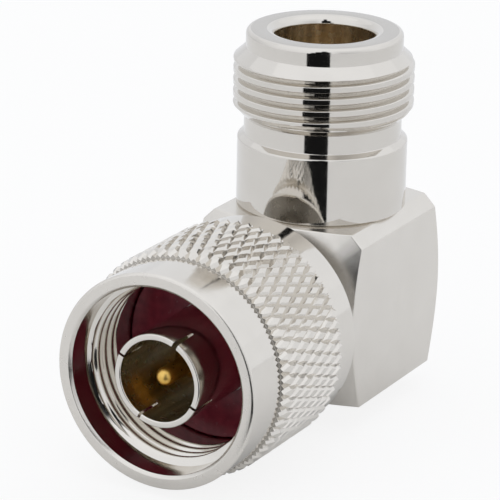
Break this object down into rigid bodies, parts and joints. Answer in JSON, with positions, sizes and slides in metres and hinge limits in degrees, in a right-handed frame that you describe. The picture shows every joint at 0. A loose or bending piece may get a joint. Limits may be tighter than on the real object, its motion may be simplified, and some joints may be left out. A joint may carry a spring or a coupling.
{
  "type": "right-angle coaxial adapter",
  "caption": "Right-angle coaxial adapter: plug with a knurled coupling nut, slotted sleeve and pin, a square elbow block and a threaded jack.",
  "frame": {"origin": "centre of the plug's mating plane, at the end of its slotted sleeve", "axes": "+Y along the plug axis into the adapter, +Z along the jack axis, out of the jack's mouth"},
  "size_m": [0.0198, 0.0369, 0.0334],
  "materials": {
    "nickel": "bright nickel plate on brass",
    "gold": "gold plate on brass",
    "insulator": "matt white fluoropolymer",
    "silicone": "dark red silicone rubber"
  },
  "bodies": {
    "body": {"elbow_block": "nickel", "jack_barrel": "nickel", "jack_insulator": "insulator", "jack_contact": "gold", "plug_shell": "nickel", "plug_insulator": "insulator", "plug_pin": "gold", "gasket": "silicone", "retaining_ring": "nickel"},
    "nut": {"coupling_nut": "nickel"}
  },
  "joints": [
    {"name": "nut_spin", "type": "hinge", "parent": "body", "child": "nut", "pos_m": [0, 0, 0], "axis": [0, 1, 0], "continuous": true}
  ]
}
